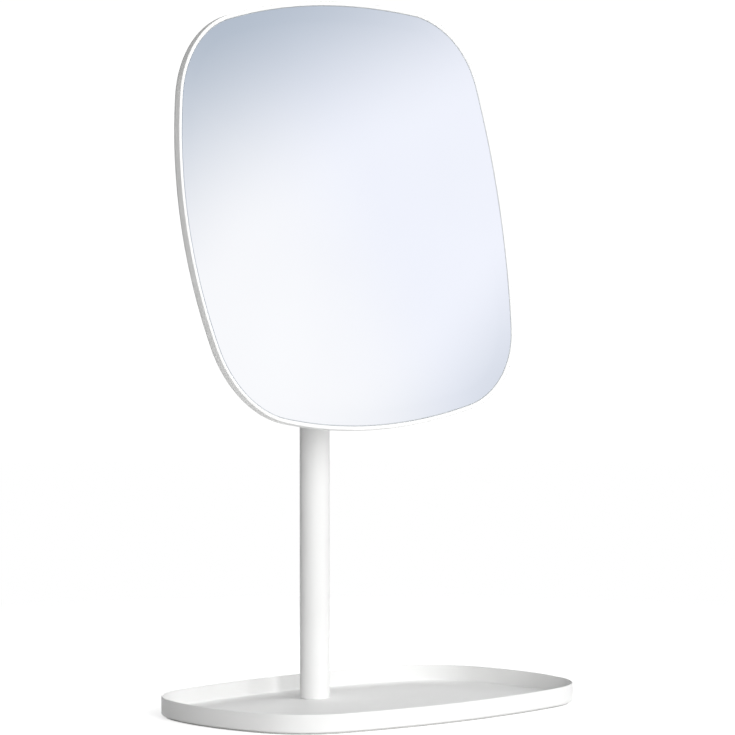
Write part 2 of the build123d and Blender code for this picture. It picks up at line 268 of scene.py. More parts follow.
def bowed_loop(half_x, half_y, bow_x, bow_y, corner):
    """Points and outward normals of four bowed sides and four corner arcs, tangent all round.

    A point is named by the angle of its normal, and is its arc's centre plus the arc's radius
    along that normal. Angles near the X axis are on the short sides, near the other axis on the
    long sides, and between them on the corner arcs. The first quadrant is folded into the others.
    """
    angle = np.linspace(0, TURN, OUTLINE_POINTS, endpoint=False)
    short_centre = np.array([half_x - bow_x, 0.0])
    long_centre = np.array([0.0, half_y - bow_y])
    span = short_centre - long_centre
    length = np.linalg.norm(span)
    along = ((bow_y - corner) ** 2 - (bow_x - corner) ** 2 + length**2) / (2 * length)
    across = math.sqrt((bow_y - corner) ** 2 - along**2)
    step = span / length
    corner_centre = long_centre + step * along + np.array([step[1], -step[0]]) * across
    to_short, to_long = corner_centre - short_centre, corner_centre - long_centre
    folded = np.arccos(np.abs(np.cos(angle)))[:, None]
    on_short = folded < math.atan2(to_short[1], to_short[0])
    on_long = folded > math.atan2(to_long[1], to_long[0])
    radius = np.where(on_short, bow_x, np.where(on_long, bow_y, corner))
    centre = np.where(on_short, short_centre, np.where(on_long, long_centre, corner_centre))
    normals = np.stack([np.cos(angle), np.sin(angle)], 1)
    quadrant = np.copysign(1.0, normals)
    return quadrant * (centre + radius * np.abs(normals)), normals


def evened(points, normals):
    """The same outline with its points spread evenly along its length."""
    closed = np.vstack([points, points[:1]])
    turned_normals = np.vstack([normals, normals[:1]])
    run = np.append(0, np.cumsum(np.linalg.norm(np.diff(closed, axis=0), axis=1)))
    places = np.linspace(0, run[-1], OUTLINE_POINTS, endpoint=False)
    spread = [np.interp(places, run, values) for values in (*closed.T, *turned_normals.T)]
    return np.stack(spread[:2], 1), unit(np.stack(spread[2:], 1))


def circle(radius):
    """Points and outward normals of a circle about the origin."""
    angle = np.linspace(0, TURN, ROUND_POINTS, endpoint=False)
    normals = np.stack([np.cos(angle), np.sin(angle)], 1)
    return radius * normals, normals


# Surfaces: a stack of closed loops, one row of points each
def turned(profile, axis, flats=None, pitch=None, depth=0.0):
    """Radius and height profile carried round an axis.

    flats gives each row's share of hexagon: the radius is then multiplied by that share of
    the way to 1 / cos(angle from the middle of its flat). pitch and depth cut a thread: the radius
    loses depth times a wave that goes round once in each pitch of height.
    """
    angle = np.linspace(0, TURN, ROUND_POINTS, endpoint=False)
    radius, height = profile[:, :1], profile[:, 1:]
    hexagon = 1 / np.cos((angle + math.pi / 6) % (math.pi / 3) - math.pi / 6)
    share = np.zeros_like(radius) if flats is None else np.asarray(flats, float)[:, None]
    radius = radius * (1 + share * (hexagon - 1))
    if pitch:
        radius = radius - depth * (0.5 + 0.5 * np.cos(TURN * height / pitch - angle))
    spun = [radius * np.cos(angle), radius * np.sin(angle), height + 0 * angle]
    return np.stack(np.roll(spun, AXIS_SHIFT[axis], axis=0), -1)


def banded(outline, hole, rows):
    """Sheet between an outline and a round hole in it, as loops in the outline's plane.

    Each row has its offset from the outline, its offset from the hole's edge, its share of the way from
    the first to the second, and its height. Points of both stand on the same ray from the hole.
    """
    points, normals = outline
    middle, radius = hole
    spokes = unit(points - middle)
    from_outline, from_hole, share, height = np.asarray(rows, float).T[:, :, None, None]
    outer = points + from_outline * normals
    inner = middle + (radius + from_hole) * spokes
    flat = outer * (1 - share) + inner * share
    return np.concatenate([flat, height + 0 * flat[..., :1]], -1)


def outline_rows(profile):
    """Rows of a banded sheet along its outline, from a profile of offsets and heights."""
    offset, height = profile.T
    return np.stack([offset, 0 * offset, 0 * offset, height], 1)


def hole_rows(profile):
    """Rows of a banded sheet along its hole, from a profile of offsets and heights."""
    offset, height = profile.T
    return np.stack([0 * offset, offset, 0 * offset + 1, height], 1)


def flat_rows(from_outline, from_hole, height):
    """Rows of a banded sheet's flat face, between the ends of its two profiles."""
    share = FLOOR_SHARES
    return np.stack([0 * share + from_outline, 0 * share + from_hole, share, 0 * share + height], 1)


def ball_y(x, z, radius):
    """Depth of a ball's rear half, about the centre of the mirror's curve."""
    return np.sqrt(radius**2 - x**2 - z**2) - GLASS_AHEAD - MIRROR_RADIUS


def dished(outline, rows, middle=(0.0, 0.0)):
    """Loops of a flat outline laid on balls about the centre of the mirror's curve.

    Each row has its offset from the outline, its scale about the outline's middle and its ball's radius.
    """
    points, normals = outline
    offset, scale, radius = np.asarray(rows, float).T[:, :, None, None]
    flat = (points + offset * normals) * scale + np.asarray(middle)
    x, z = flat[..., 0], flat[..., 1]
    return np.stack([x, ball_y(x, z, radius[..., 0]), z], -1)


def rim_rows(profile):
    """Rows of a dish along its outline, from a profile of offsets and ball radii."""
    return np.stack([profile[:, 0], np.ones(len(profile)), profile[:, 1]], 1)


def dish_rows(profile, first_rows, last_rows):
    """Rows of a closed dish: out along its first face, over its edge and back along its last face.

    A face keeps the offset and ball of the profile's end that it meets, and its scale grows evenly.
    """
    edge = rim_rows(profile)

    def face(end, count):
        """Rows of one face, from near its middle out to an end of the profile."""
        spread = np.linspace(POLE_SHARE, 1, count, endpoint=False)
        return np.stack([np.full(count, end[0]), spread, np.full(count, end[2])], 1)

    return np.vstack([face(edge[0], first_rows), edge, face(edge[-1], last_rows)[::-1]])


def lean(loops):
    """Head pieces are drawn upright about the tilt axis and then leant back."""
    angle = math.radians(TILT_AT_REST)
    x, y, z = np.moveaxis(loops, -1, 0)
    back = y * math.cos(angle) + z * math.sin(angle)
    up = z * math.cos(angle) - y * math.sin(angle)
    return np.stack([x, back, up], -1) + TILT_AXIS


def on_column(loops):
    """Pieces drawn about the Z axis are set on the column's axis."""
    return loops + np.append(COLUMN_FOOT, 0.0)


# Meshes
def shell(loops, joined):
    """Points, quads and end triangles of a stack of loops, with quads between neighbours.

    Where joined, the last loop meets the first. Otherwise a point in the middle of each end loop
    closes it. Faces are turned round if the volume that they enclose comes out negative.
    """
    count, around = loops.shape[:2]
    points = loops.reshape(-1, 3)
    index = np.arange(count * around).reshape(count, around)
    stack = np.vstack([index, index[:1]]) if joined else index
    low, high = stack[:-1], stack[1:]
    quads = np.stack([low, np.roll(low, -1, 1), np.roll(high, -1, 1), high], -1).reshape(-1, 4)
    fans = np.zeros((0, 3), int)
    if not joined:
        points = np.vstack([points, loops[0].mean(0), loops[-1].mean(0)])
        ends = [(np.roll(index[0], -1), index[0], len(points) - 2)]
        ends.append((index[-1], np.roll(index[-1], -1), len(points) - 1))
        fans = np.vstack([np.stack([a, b, np.full(around, tip)], 1) for a, b, tip in ends])
    corners = np.vstack([quads[:, :3], quads[:, [0, 2, 3]], fans])
    a, b, c = (points[corners[:, k]] - points.mean(0) for k in range(3))
    if (a * np.cross(b, c)).sum() < 0:
        quads, fans = quads[:, ::-1], fans[:, ::-1]
    return points, quads, fans


def piece(name, node, shells, finish=None):
    """Object made of closed shells: it stands for a CAD node, rides on its body and takes its slot.

    Its finish is the slot's own unless another is given.
    """
    points, faces, used = [], [], 0
    for shell_points, quads, fans in shells:
        points.append(shell_points)
        faces += (quads + used).tolist() + (fans + used).tolist()
        used += len(shell_points)
    mesh = bpy.data.meshes.new(name)
    mesh.from_pydata((np.vstack(points) * MM).tolist(), [], faces)
    mesh.polygons.foreach_set("use_smooth", np.ones(len(mesh.polygons), bool))
    mesh.materials.append(finish or FINISH[SLOT_OF[node]])
    made = bpy.data.objects.new(name, mesh)
    bpy.context.scene.collection.objects.link(made)
    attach(made, BODY_OF[node])
    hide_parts(node)
    return made


# Materials
MOTTLE_BAND = (0.3, 0.7)  # the part of a noise's range that the two colours take up


def linear(code):
    """Linear colour of an sRGB hex value."""
    part = np.array([int(code[k : k + 2], 16) for k in (1, 3, 5)]) / 255
    part = np.where(part <= 0.04045, part / 12.92, ((part + 0.055) / 1.055) ** 2.4)
    return (*part.tolist(), 1.0)


def per_mm(size):
    """Scale of a pattern that repeats about once in that many millimetres."""
    return 1 / (size * MM)


def add(tree, kind, inputs=None, **settings):
    """Adds a node: settings are its own properties, inputs are values or the sockets that feed them."""
    made = tree.nodes.new(kind)
    for name, value in settings.items():
        setattr(made, name, value)
    for name, value in (inputs or {}).items():
        if isinstance(value, bpy.types.NodeSocket):
            tree.links.new(value, made.inputs[name])
        else:
            made.inputs[name].default_value = value
    return made


def surface(name, **constants):
    """Empty material with a Principled surface, whose constants are set on its own sockets."""
    material = bpy.data.materials.new(name)
    material.use_nodes = True
    tree = material.node_tree
    tree.nodes.clear()
    skin = add(tree, "ShaderNodeBsdfPrincipled", constants)
    add(tree, "ShaderNodeOutputMaterial", {"Surface": skin.outputs["BSDF"]})
    place = add(tree, "ShaderNodeTexCoord").outputs["Object"]
    return material, tree, skin, place


def mottled(tree, place, size, low, high, detail=2.0):
    """Sockets of a colour that drifts between two hex values in patches of a size, and of the drift."""
    noise = add(tree, "ShaderNodeTexNoise", {"Vector": place, "Scale": per_mm(size), "Detail": detail})
    ramp = add(tree, "ShaderNodeValToRGB", {"Fac": noise.outputs["Fac"]})
    for stop, position, code in zip(ramp.color_ramp.elements, MOTTLE_BAND, (low, high)):
        stop.position = position
        stop.color = linear(code)
    return ramp.outputs["Color"], noise.outputs["Fac"]


def powder_coat():
    """Polyester powder coat on steel, sprayed dry and baked: a satin white skin, faintly orange-peeled."""
    material, tree, skin, place = surface("white_powder_coat", IOR=1.5)
    colour, drift = mottled(tree, place, 45.0, "#F4F4F3", "#F7F7F6")
    gloss = add(tree, "ShaderNodeMapRange", {"Value": drift, "To Min": 0.40, "To Max": 0.48})
    # The real peel is under a millimetre across: it is drawn at 2 mm, the least that shows.
    peel = add(tree, "ShaderNodeTexNoise", {"Vector": place, "Scale": per_mm(2.0), "Detail": 1.0})
    relief = {"Height": peel.outputs["Fac"], "Strength": 0.12, "Distance": 0.05 * MM}
    bump = add(tree, "ShaderNodeBump", relief)
    tree.links.new(colour, skin.inputs["Base Color"])
    tree.links.new(gloss.outputs["Result"], skin.inputs["Roughness"])
    tree.links.new(bump.outputs["Normal"], skin.inputs["Normal"])
    return material


def silvered_glass():
    """Clear float glass silvered on its back: a sharp, slightly cool reflection under a trace of haze."""
    material, tree, skin, place = surface("silvered_float_glass", Metallic=1.0)
    colour, drift = mottled(tree, place, 90.0, "#FAFBFC", "#FCFDFE")
    haze = add(tree, "ShaderNodeMapRange", {"Value": drift, "To Min": 0.005, "To Max": 0.02})
    tree.links.new(colour, skin.inputs["Base Color"])
    tree.links.new(haze.outputs["Result"], skin.inputs["Roughness"])
    return material


def ground_glass():
    """Edge of silvered glass ground with a fine wheel: a satin grey reflection with a fine cloudy grain."""
    material, tree, skin, place = surface("ground_glass_edge", Metallic=1.0)
    colour, drift = mottled(tree, place, 1.5, "#D2D6DA", "#DCE0E3", detail=3.0)
    gloss = add(tree, "ShaderNodeMapRange", {"Value": drift, "To Min": 0.32, "To Max": 0.42})
    tree.links.new(colour, skin.inputs["Base Color"])
    tree.links.new(gloss.outputs["Result"], skin.inputs["Roughness"])
    return material


def zinc_plate():
    """Bright zinc plate with a clear blue passivation: pale cool metal with a fine cloudy grain."""
    material, tree, skin, place = surface("bright_zinc_plate", Metallic=1.0)
    colour, drift = mottled(tree, place, 2.5, "#B9C0C8", "#D3D7DB", detail=4.0)
    gloss = add(tree, "ShaderNodeMapRange", {"Value": drift, "To Min": 0.22, "To Max": 0.34})
    tree.links.new(colour, skin.inputs["Base Color"])
    tree.links.new(gloss.outputs["Result"], skin.inputs["Roughness"])
    return material


def spring_steel():
    """Rolled and tempered spring steel, oiled: darker grey metal with a fine cloudy grain."""
    material, tree, skin, place = surface("tempered_spring_steel", Metallic=1.0)
    colour, drift = mottled(tree, place, 1.2, "#84878C", "#9A9DA2", detail=4.0)
    gloss = add(tree, "ShaderNodeMapRange", {"Value": drift, "To Min": 0.3, "To Max": 0.45})
    tree.links.new(colour, skin.inputs["Base Color"])
    tree.links.new(gloss.outputs["Result"], skin.inputs["Roughness"])
    return material


def nylon():
    """Moulded natural nylon: slightly warm white with a dull sheen and a fine moulded grain."""
    material, tree, skin, place = surface("moulded_white_nylon", IOR=1.53)
    colour, drift = mottled(tree, place, 6.0, "#EDECE6", "#F2F1EC")
    gloss = add(tree, "ShaderNodeMapRange", {"Value": drift, "To Min": 0.42, "To Max": 0.55})
    grain = add(tree, "ShaderNodeTexNoise", {"Vector": place, "Scale": per_mm(0.5), "Detail": 2.0})
    relief = {"Height": grain.outputs["Fac"], "Strength": 0.2, "Distance": 0.02 * MM}
    bump = add(tree, "ShaderNodeBump", relief)
    tree.links.new(colour, skin.inputs["Base Color"])
    tree.links.new(gloss.outputs["Result"], skin.inputs["Roughness"])
    tree.links.new(bump.outputs["Normal"], skin.inputs["Normal"])
    return material


def foam():
    """Closed-cell foam sheet, cut from a block: white, dull, with fine opened cells."""
    material, tree, skin, place = surface("closed_cell_foam", Roughness=0.92, IOR=1.45)
    cells = add(tree, "ShaderNodeTexVoronoi", {"Vector": place, "Scale": per_mm(0.9)})
    ramp = add(tree, "ShaderNodeValToRGB", {"Fac": cells.outputs["Distance"]})
    ramp.color_ramp.elements[0].color = linear("#D2D2D0")
    ramp.color_ramp.elements[1].color = linear("#E6E6E4")
    relief = {"Height": cells.outputs["Distance"], "Strength": 0.6, "Distance": 0.2 * MM}
    bump = add(tree, "ShaderNodeBump", relief)
    tree.links.new(ramp.outputs["Color"], skin.inputs["Base Color"])
    tree.links.new(bump.outputs["Normal"], skin.inputs["Normal"])
    return material


FINISH = {
    "white_coated_steel": powder_coat(),
    "silvered_glass": silvered_glass(),
    "zinc_plated_steel": zinc_plate(),
    "spring_steel": spring_steel(),
    "white_nylon": nylon(),
    "white_foam": foam(),
}


# Base
def tray_outline():
    """Bowed outline of the tray's outside."""
    return bowed_loop(TRAY_HALF_X, TRAY_HALF_Y, TRAY_SHORT_BOW, TRAY_LONG_BOW, TRAY_CORNER)


def white_tray():
    """Pressed tray: a profile of wall and rim follows the outline, and the floor runs in to the boss."""
    wall = rounded(
        [
            (FLOOR_REACH, FLOOR_Z),
            (-TRAY_SHEET, FLOOR_Z),
            (-TRAY_SHEET, RIM_Z),
            (0, RIM_Z),
            (0, TRAY_UNDERSIDE),
            (FLOOR_REACH, TRAY_UNDERSIDE),
        ],
        [TRAY_BEND, RIM_ROUND, RIM_ROUND, FOOT_ROUND],
    )
    boss = rounded(
        [
            (BOSS_REACH, TRAY_UNDERSIDE),
            (RECESS - LOCATOR, TRAY_UNDERSIDE),
            (RECESS - LOCATOR, LOCATOR_TOP - TRAY_SHEET),
            (SCREW_HOLE - LOCATOR, LOCATOR_TOP - TRAY_SHEET),
            (SCREW_HOLE - LOCATOR, LOCATOR_TOP),
            (0, LOCATOR_TOP),
            (0, FLOOR_Z),
            (BOSS_REACH, FLOOR_Z),
        ],
        BOSS_ROUNDS,
    )
    under = flat_rows(FLOOR_REACH, BOSS_REACH, TRAY_UNDERSIDE)
    floor = flat_rows(FLOOR_REACH, BOSS_REACH, FLOOR_Z)[::-1]
    rows = np.vstack([outline_rows(wall), under, hole_rows(boss), floor])
    return shell(banded(tray_outline(), (COLUMN_FOOT, LOCATOR), rows), True)


def foam_underlay():
    """Thin sheet under the flat of the tray, with softly cut edges and a hole for the screw's recess."""
    inset = -TRAY_BEND - TRAY_SHEET
    reach = inset - UNDERLAY_REACH
    rounds = [FOAM_EDGE, FOAM_EDGE]
    edge = sheet_edge(inset, reach, TRAY_UNDERSIDE, 0, rounds)
    hole = sheet_edge(0, BOSS_REACH, 0, TRAY_UNDERSIDE, rounds)
    low = flat_rows(reach, BOSS_REACH, 0)
    high = flat_rows(reach, BOSS_REACH, TRAY_UNDERSIDE)[::-1]
    rows = np.vstack([outline_rows(edge), low, hole_rows(hole), high])
    return shell(banded(tray_outline(), (COLUMN_FOOT, LOCATOR), rows), True)


def ring(outer, inner, low, high, edge, axis="z"):
    """Washer or tube: a rectangle with rounded corners carried round an axis."""
    middle = (low + high) / 2
    profile = rounded(
        [(outer, middle), (outer, high), (inner, high), (inner, low), (outer, low), (outer, middle)],
        [edge] * 4,
    )
    return turned(profile[:-1], axis)


def upright(node, outer, inner, edge):
    """Ring on the column's axis that fills its node's height."""
    low, high = BOX[node][:, 2]
    return shell(on_column(ring(outer, inner, low, high, edge)), True)


def socket_screw(head, head_height, key, shank, length, axis):
    """Screw with a rounded head, its hexagon socket at height 0 and its shank rising from the head."""
    sunk = head_height / 2
    end = head_height + length
    profile = rounded(
        [
            (TIP, sunk),
            (key, sunk),
            (key, 0),
            (head, 0),
            (head, head_height),
            (shank, head_height),
            (shank, end),
            (TIP, end),
        ],
        [
            SOCKET_FLOOR_ROUND,
            SOCKET_MOUTH_ROUND,
            HEAD_ROUND * head_height,
            HEAD_SEAT_ROUND,
            SHANK_ROOT_ROUND,
            SHANK_END_ROUND,
        ],
    )
    return turned(profile, axis, flats=at_corners(profile, 0, 2))


def column_screw():
    """Socket screw that stands head down on the column's axis."""
    screw = socket_screw(SCREW_HEAD_RADIUS, SCREW_HEAD, SCREW_KEY, SCREW_RADIUS, SCREW_LENGTH, "z")
    head_z = BOX["column_screw"][0][2]
    return shell(on_column(screw + np.array([0, 0, head_z])), False)


# Swivel
def nylon_bush():
    """Turned profile of a skirt that fills the column's bore and a flange that covers the column's end."""
    low, high = BOX["top_bush"][:, 2]
    seat = BOX["column_tube"][1][2]
    bore = POST_RADIUS + RUNNING_GAP
    start = (COLUMN_BORE, low + BUSH_START)
    profile = rounded(
        [
            start,
            (COLUMN_BORE, seat),
            (COLUMN_RADIUS, seat),
            (COLUMN_RADIUS, high),
            (bore, high),
            (bore, low),
            (COLUMN_BORE, low),
            start,
        ],
        BUSH_ROUNDS,
    )
    return shell(on_column(turned(profile[:-1], "z")), True)


def tongue_loop():
    """Side of the tongue, as distance from the tilt axis by angle: round above, a straight stem below."""
    angle = np.linspace(0, TURN, OUTLINE_POINTS, endpoint=False)
    spokes = np.stack([np.cos(angle), np.sin(angle)], 1)
    stem_foot = TILT_AXIS[2] - COLLAR_TOP + TONGUE_ROOT
    down = np.maximum(-spokes[:, 1], TINY)
    stem = np.minimum(TONGUE_ROUND / np.maximum(np.abs(spokes[:, 0]), TINY), stem_foot / down)
    radius = np.where(spokes[:, 1] < 0, stem, TONGUE_ROUND)
    return radius[:, None] * spokes, spokes


def cheek(loop, hole, low, high, edge):
    """Flat plate across the tilt axis: a side outline with rounded edges and a hole for the bolt."""
    side = sheet_edge(0, -CHEEK_REACH, low, high, [edge, edge])
    bore = sheet_edge(0, CHEEK_REACH, high, low, [edge / 2, edge / 2])
    rows = np.vstack([outline_rows(side), hole_rows(bore)])
    return np.roll(banded(loop, (np.zeros(2), hole), rows), AXIS_SHIFT["x"], axis=-1)


def white_post():
    """Shank and collar turned in one, with the tongue standing on the collar."""
    low = BOX["swivel_post"][0][2]
    profile = rounded(
        [
            (TIP, low),
            (POST_RADIUS, low),
            (POST_RADIUS, COLLAR_TOP - COLLAR),
            (COLUMN_RADIUS, COLLAR_TOP - COLLAR),
            (COLUMN_RADIUS, COLLAR_TOP),
            (TIP, COLLAR_TOP),
        ],
        [POST_EDGE] * 4,
    )
    tongue = cheek(tongue_loop(), BOLT_RADIUS + RUNNING_GAP, -TONGUE_HALF, TONGUE_HALF, TONGUE_EDGE)
    return [shell(on_column(turned(profile, "z")), False), shell(tongue + TILT_AXIS, True)]


# Hinge
def ear_loop():
    """Side of an ear, as distance from the tilt axis by angle: the furthest of its parts.

    They are a disc, a web and a stop that reach the plate, each cut by its level or leaning edge, and
    the lug that meets the collar when the head leans back.
    """
    angle = np.linspace(-math.pi, math.pi, OUTLINE_POINTS, endpoint=False)
    spokes = np.stack([np.cos(angle), np.sin(angle)], 1)
    plate = GLASS_AHEAD + MIRROR_RADIUS - PAN_REAR - EAR_ROOT

    def within(normal, reach):
        """Distance along each spoke to a straight edge at that reach, whose normal stands at that angle."""
        return reach / np.maximum(np.cos(angle - math.radians(normal)), TINY)

    to_plate = within(180, plate)
    web = np.where(angle > math.pi / 2, np.minimum(to_plate, within(90, EAR_ROUND)), 0)
    front_stop = -90 - TILT_FORWARD
    stop = np.minimum(to_plate, within(front_stop, EAR_ROUND))
    stop = np.where(angle < math.radians(front_stop), stop, 0)
    rear_stop = TILT_BACK - 90
    lug = np.minimum(within(TILT_BACK, STOP_LUG), within(rear_stop, EAR_ROUND))
    lug = np.where((angle > math.radians(rear_stop)) & (angle < math.pi / 2), lug, 0)
    radius = np.maximum.reduce([np.full(OUTLINE_POINTS, EAR_ROUND), web, stop, lug])
    return radius[:, None] * spokes, spokes


def white_bracket():
    """Dished plate on the back of the pan, with two ears that straddle the tongue."""
    outline = evened(*bowed_loop(PLATE_HALF_X, PLATE_HALF_Z, STRAIGHT, STRAIGHT, PLATE_CORNER))
    edge = sheet_edge(0, -PLATE_REACH, PAN_REAR, PLATE_REAR, PLATE_ROUNDS)
    shells = [shell(lean(dished(outline, dish_rows(edge, *PLATE_ROWS))), False)]
    for low in (EAR_INNER, -EAR_OUTER):
        ear = cheek(ear_loop(), BOLT_RADIUS + HOLE_GAP, low, low + EAR, EAR_EDGE)
        shells.append(shell(lean(ear), True))
    return shells


def at_studs(make, joined):
    """The same turned shape at each of the four studs, seated on the back of the pan."""
    places = [(x * STUD_X, z * STUD_Z) for x in (1, -1) for z in (1, -1)]
    made = [make(ball_y(x, z, PAN_REAR)) + np.array([x, 0, z]) for x, z in places]
    return [shell(lean(loops), joined) for loops in made]


def stud(seat):
    """Threaded stud: a turned rod whose radius shrinks as it nears its chamfered end."""
    end = seat + EAR + STUD_NUT_HEIGHT + STUD_END
    rise = np.linspace(seat, end, STUD_ROWS)
    radius = np.minimum(STUD_RADIUS, STUD_RADIUS - STUD_CHAMFER + (end - rise))
    profile = np.stack([radius, rise], 1)
    return turned(profile, "y", pitch=STUD_PITCH, depth=STUD_THREAD)


def flange_nut(seat):
    """Turned profile of a nut on a round flange, its hexagon between the flange's slope and the top."""
    low = seat + EAR
    top = low + STUD_NUT_HEIGHT
    rim = low + STUD_NUT_FLANGE_HEIGHT
    start = (STUD_RADIUS, low + STUD_NUT_START)
    profile = rounded(
        [
            start,
            (STUD_RADIUS, low),
            (STUD_NUT_FLANGE, low),
            (STUD_NUT_FLANGE, rim),
            (STUD_NUT_HALF, rim + STUD_NUT_SLOPE),
            (STUD_NUT_HALF, top),
            (STUD_RADIUS + STUD_NUT_SINK, top),
            (STUD_RADIUS, top - STUD_NUT_SINK),
            start,
        ],
        STUD_NUT_ROUNDS,
    )[:-1]
    return turned(profile, "y", flats=at_corners(profile, 4, 5))


def domed_nut():
    """Turned profile of a nut with a dome over the bolt's end, its hexagon below the dome."""
    top = NUT_SEAT + NUT_HEIGHT
    dome = NUT_HALF - DOME_STEP
    profile = rounded(
        [
            (TIP, top),
            (BOLT_RADIUS, top),
            (BOLT_RADIUS, NUT_SEAT),
            (NUT_HALF, NUT_SEAT),
            (NUT_HALF, top),
            (dome, top + DOME_SHOULDER),
            (dome, top + NUT_DOME),
            (TIP, top + NUT_DOME),
        ],
        [*NUT_ROUNDS, DOME_ROUND * NUT_DOME],
    )
    return across(turned(profile, "x", flats=at_corners(profile, 3, 4)), False)


def across(loops, joined):
    """Piece of the hinge, drawn along the tilt axis."""
    return shell(lean(loops), joined)


def tilt_bolt():
    """Socket screw along the tilt axis, from its head outside one ear to its end inside the nut."""
    length = EAR_OUTER + NUT_SEAT + NUT_HEIGHT
    bolt = socket_screw(BOLT_HEAD_RADIUS, BOLT_HEAD, BOLT_KEY, BOLT_RADIUS, length, "x")
    return across(bolt - np.array([EAR_OUTER + BOLT_HEAD, 0, 0]), False)


def friction_washers():
    """A ring on the bolt inside each ear."""
    size = (FRICTION_WASHER_RADIUS, BOLT_RADIUS + HOLE_GAP)
    ends = [(low, low + FRICTION_WASHER) for low in (EAR_INNER - FRICTION_WASHER, -EAR_INNER)]
    return [across(ring(*size, *end, FRICTION_WASHER_EDGE, "x"), True) for end in ends]


def spring_disc(inner, outer, low, rise):
    """Conical spring washer: a slanting strip carried round the bolt, its inner edge ahead by the rise."""
    sheet = math.copysign(SPRING_SHEET, rise)
    start = ((inner + outer) / 2, low + rise / 2)
    profile = rounded(
        [
            start,
            (outer, low),
            (outer, low + sheet),
            (inner, low + rise + sheet),
            (inner, low + rise),
            start,
        ],
        [SPRING_EDGE] * 4,
    )
    return turned(profile[:-1], "x")


def tilt_springs():
    """Two spring discs between ear and nut, with their outer edges together."""
    size = (BOLT_RADIUS + HOLE_GAP, BOLT_RADIUS + SPRING_RIM)
    meet = NUT_SEAT - SPRING_SHEET - SPRING_CONE
    return [across(spring_disc(*size, meet, rise), True) for rise in (SPRING_CONE, -SPRING_CONE)]


# Head
def mirror_outline():
    """Bowed outline of the glass."""
    return bowed_loop(GLASS_HALF, GLASS_HALF, GLASS_BOW, GLASS_BOW, GLASS_CORNER)


def concave_glass():
    """Silvered glass between two balls, up to where its ground edge begins."""
    side = -GLASS_INSET - GLASS_BEVEL
    edge = sheet_edge(side, -FACE_REACH, MIRROR_RADIUS, GLASS_REAR, [GLASS_SEAM, GLASS_SEAM])
    return shell(lean(dished(mirror_outline(), dish_rows(edge, SHOWN_ROWS, HIDDEN_ROWS))), False)


def ground_edge():
    """Ring round the glass, its front corner ground to a bevel: its profile follows the outline."""
    rim = -GLASS_INSET
    side = rim - GLASS_BEVEL
    start = (side, (MIRROR_RADIUS + GLASS_REAR) / 2)
    profile = rounded(
        [
            start,
            (side, MIRROR_RADIUS),
            (rim, MIRROR_RADIUS + GLASS_BEVEL_DEPTH),
            (rim, GLASS_REAR),
            (side, GLASS_REAR),
            start,
        ],
        [GLASS_SEAM, BEVEL_ROUND, GLASS_REAR_ROUND, GLASS_SEAM],
    )
    return shell(lean(dished(mirror_outline(), rim_rows(profile[:-1]))), True)


def white_pan():
    """Dished pan: inside floor, wall round the glass, rounded lip, outer wall, back edge and back."""
    inside = EDGE_GAP - GLASS_INSET
    lip = MIRROR_RADIUS - LIP_RISE
    edge = rounded(
        [
            (-FACE_REACH, PAN_FLOOR),
            (inside, PAN_FLOOR),
            (inside, lip),
            (WALL_OFFSET, lip),
            (WALL_OFFSET, PAN_REAR),
            (-FACE_REACH, PAN_REAR),
        ],
        [PAN_BEND, LIP_ROUND, LIP_ROUND, PAN_BEND + PAN_SHEET],
    )
    return shell(lean(dished(mirror_outline(), dish_rows(edge, HIDDEN_ROWS, SHOWN_ROWS))), False)


def pads():
    """Foam discs between the glass and the pan, one in the middle and one towards each corner."""
    edge = sheet_edge(0, -PAD_REACH, GLASS_REAR, PAD_REAR, [FOAM_EDGE, FOAM_EDGE])
    places = [(0, 0)] + [(x * PAD_PLACE, z * PAD_PLACE) for x in (1, -1) for z in (1, -1)]
    rows = dish_rows(edge, *PAD_ROWS)
    return [shell(lean(dished(circle(PAD_RADIUS), rows, middle)), False) for middle in places]


# Pieces
column = upright("column_tube", COLUMN_RADIUS, COLUMN_BORE, COLUMN_EDGE)
lock_washer = upright("screw_washer", LOCK_WASHER_RADIUS, SCREW_HOLE, LOCK_WASHER_EDGE)
thrust_washer = upright("thrust_washer", COLUMN_RADIUS, POST_RADIUS + HOLE_GAP, THRUST_WASHER_EDGE)

piece("white_tray", "tray", [white_tray()])
underlay = piece("foam_underlay", "underlay", [foam_underlay()])
piece("white_column", "column_tube", [column])
piece("column_fixing_screw", "column_screw", [column_screw()])
piece("screw_lock_washer", "screw_washer", [lock_washer])
piece("nylon_bush", "top_bush", [nylon_bush()])
piece("white_post", "swivel_post", white_post())
piece("nylon_thrust_washer", "thrust_washer", [thrust_washer])
piece("concave_mirror", "mirror_glass", [concave_glass()])
piece("ground_glass_edge", "mirror_glass", [ground_edge()], finish=ground_glass())
glass_pads = piece("glass_pads", "bonding_pads", pads())
piece("white_pan", "back_pan", [white_pan()])
piece("white_bracket", "tilt_bracket", white_bracket())
piece("pan_studs", "bracket_studs", at_studs(stud, False))
piece("flange_nuts", "bracket_nuts", at_studs(flange_nut, True))
piece("tilt_axis_bolt", "tilt_bolt", [tilt_bolt()])
piece("nylon_friction_washers", "friction_washers", friction_washers())
piece("tilt_disc_springs", "tilt_springs", tilt_springs())
piece("domed_tilt_nut", "tilt_nut", [domed_nut()])

# Pieces inside the column keep their CAD form and take the finish of their slot
for node in ("foot_plug", "swivel_spring", "retaining_washer", "retaining_screw"):
    frame["nodes"][node].material_slots[0].material = FINISH[SLOT_OF[node]]


# Studio
def facing(azimuth, elevation):
    """Direction by its azimuth from -Y towards +X and its elevation above the horizon."""
    a, e = math.radians(azimuth), math.radians(elevation)
    return Vector((math.sin(a) * math.cos(e), -math.cos(a) * math.cos(e), math.sin(e)))


CAMERA_TARGET = Vector((39.2, 42.7, 177.0))
CAMERA_FACING = (-43.302, 4.225)
CAMERA_DISTANCE = 3380.0
CAMERA_LENS = 308.28
SENSOR = 36.0

